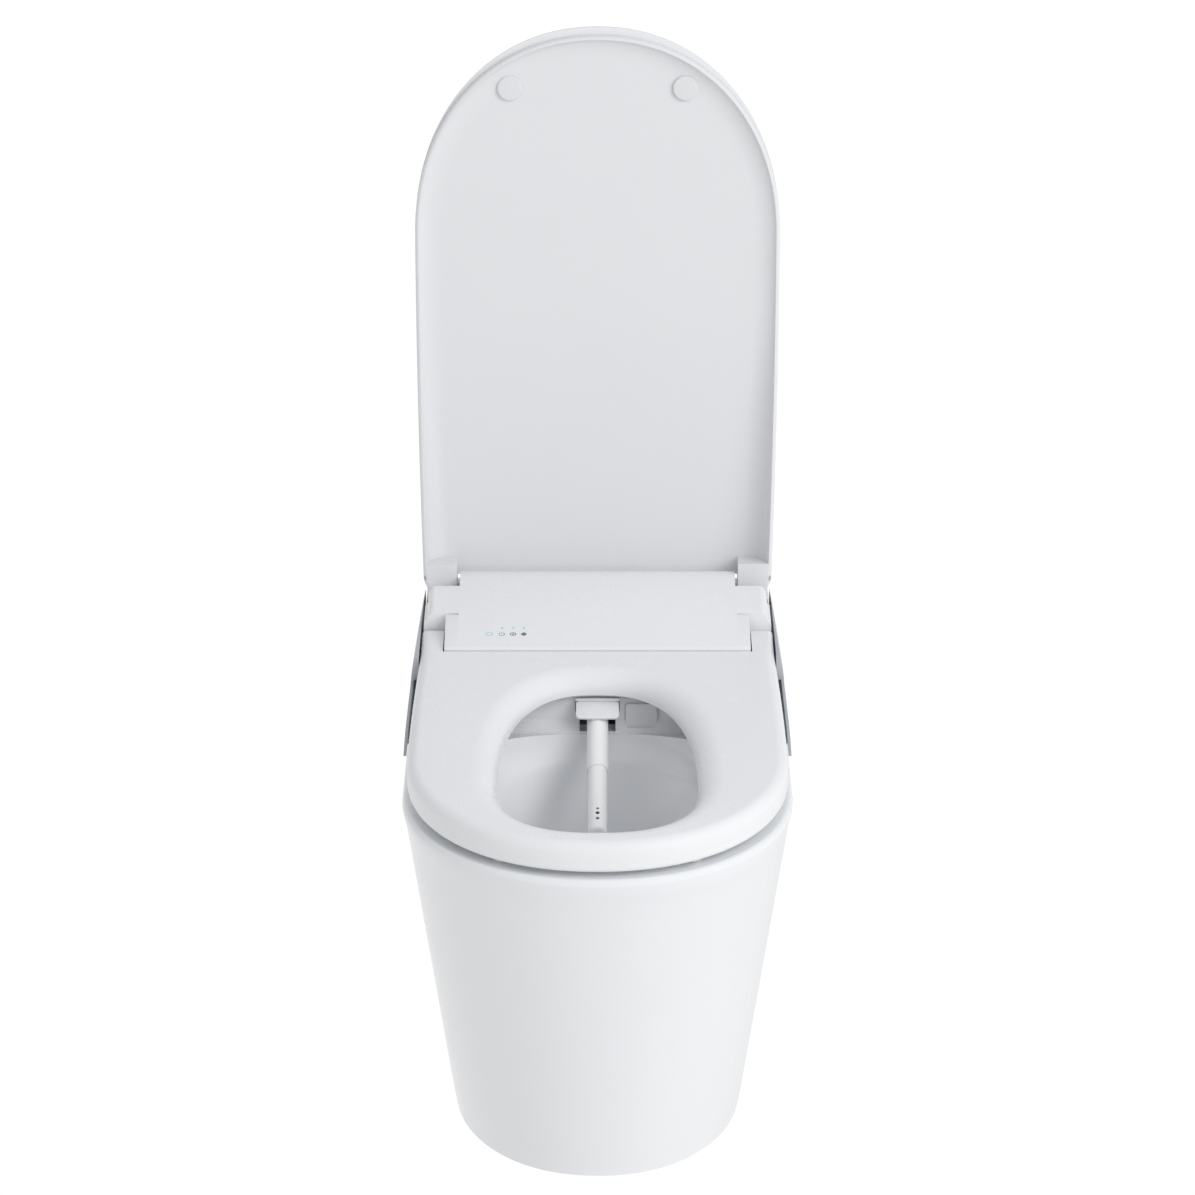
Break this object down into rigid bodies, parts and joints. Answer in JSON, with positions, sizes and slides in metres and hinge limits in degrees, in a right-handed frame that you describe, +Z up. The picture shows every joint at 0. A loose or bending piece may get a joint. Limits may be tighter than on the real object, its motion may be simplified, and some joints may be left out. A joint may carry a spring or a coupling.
{
  "type": "electric bidet toilet",
  "caption": "One-piece electric bidet toilet: skirted bowl, washing unit with slide-out wand, heated seat and tall lid, both hinged.",
  "frame": {"origin": "centre of the bounding box on the floor, under the middle of the bowl", "axes": "+X to the right of someone facing the object, +Y from the front tip to the wall, +Z up"},
  "size_m": [0.4024, 0.715, 1.0584],
  "materials": {
    "glaze": "glossy white vitreous glaze",
    "white_shell": "white moulded plastic, satin gloss",
    "lid_inside": "white moulded plastic, soft satin",
    "silver": "silver painted plastic",
    "grey_plastic": "grey moulded plastic",
    "dark_plastic": "dark moulded plastic",
    "circuit": "circuit board laminate",
    "steel": "stainless steel",
    "brass": "machined brass",
    "rubber": "pale soft rubber",
    "lit": "translucent lens, lit"
  },
  "bodies": {
    "base": {"ceramic_bowl": "glaze", "ceramic_basin": "glaze", "ceramic_trapway": "glaze", "side_panel_left": "silver", "side_panel_right": "silver", "mounting_plate": "steel", "base_tray": "white_shell", "front_hood": "white_shell", "top_cover": "white_shell", "rear_cover": "white_shell", "light_key": "lit", "power_key": "lid_inside", "wash_key": "lid_inside", "dry_key": "lid_inside", "fixing_stud_left": "brass", "fixing_stud_right": "brass", "water_heater": "grey_plastic", "water_pump": "dark_plastic", "solenoid_valve": "brass", "power_board": "circuit", "control_board": "circuit", "flush_valve": "white_shell", "filter_cartridge": "lid_inside", "dryer_housing": "white_shell", "dryer_motor": "dark_plastic", "deodorizer_housing": "white_shell", "deodorizer_filter": "dark_plastic", "nozzle_cradle": "grey_plastic", "nozzle_motor": "steel", "lid_pin_left": "steel", "lid_pin_right": "steel", "lid_damper": "dark_plastic", "seat_damper": "dark_plastic", "water_inlet": "brass", "power_gland": "dark_plastic", "outlet_gasket": "rubber"},
    "seat": {"seat_shell": "white_shell", "seat_base": "white_shell", "seat_heater": "dark_plastic", "seat_bumper_front_left": "rubber", "seat_bumper_front_right": "rubber", "seat_bumper_rear_left": "rubber", "seat_bumper_rear_right": "rubber", "seat_pin_left": "steel", "seat_pin_right": "steel"},
    "lid": {"lid_shell": "white_shell", "lid_liner": "lid_inside", "lid_bumper_left": "rubber", "lid_bumper_right": "rubber"},
    "wand_outer": {"wand_tube": "white_shell"},
    "wand_inner": {"wand_nozzle": "white_shell"},
    "pinion": {"drive_pinion": "brass"},
    "shutter": {"nozzle_shutter": "white_shell"},
    "drying_flap": {"dryer_flap": "white_shell"},
    "dryer_fan": {"dryer_impeller": "dark_plastic"},
    "deodorizer": {"deodorizer_fan": "dark_plastic"}
  },
  "joints": [
    {"name": "seat_hinge", "type": "hinge", "parent": "base", "child": "seat", "pos_m": [0, 0.1625, 0.421], "axis": [-1, 0, 0], "range_deg": [0, 95]},
    {"name": "lid_hinge", "type": "hinge", "parent": "base", "child": "lid", "pos_m": [0, 0.2647, 0.4517], "axis": [-1, 0, 0], "range_deg": [-97.7, 0]},
    {"name": "wand_slide", "type": "slide", "parent": "base", "child": "wand_outer", "axis": [0, -0.9397, -0.342], "range_m": [-0.06, 0]},
    {"name": "nozzle_slide", "type": "slide", "parent": "wand_outer", "child": "wand_inner", "axis": [0, -0.9397, -0.342], "range_m": [-0.097, 0]},
    {"name": "pinion_spin", "type": "hinge", "parent": "base", "child": "pinion", "pos_m": [-0.021, 0.08367, 0.39037], "axis": [1, 0, 0], "continuous": true},
    {"name": "shutter_hinge", "type": "hinge", "parent": "base", "child": "shutter", "pos_m": [0, 0.0575, 0.398], "axis": [-1, 0, 0], "range_deg": [0, 15]},
    {"name": "drying_flap_hinge", "type": "hinge", "parent": "base", "child": "drying_flap", "pos_m": [0.0465, 0.0604, 0.395], "axis": [-1, 0, 0], "range_deg": [0, 60]},
    {"name": "dryer_fan_spin", "type": "hinge", "parent": "base", "child": "dryer_fan", "pos_m": [0.048, 0.15, 0.384], "axis": [1, 0, 0], "continuous": true},
    {"name": "deodorizer_spin", "type": "hinge", "parent": "base", "child": "deodorizer", "pos_m": [-0.134, 0.088, 0.3835], "axis": [1, 0, 0], "continuous": true}
  ],
  "couplings": [
    {"joint": "nozzle_slide", "follows": "wand_slide", "ratio": 1.6167},
    {"joint": "pinion_spin", "follows": "wand_slide", "rad_per_m": 142.86}
  ]
}
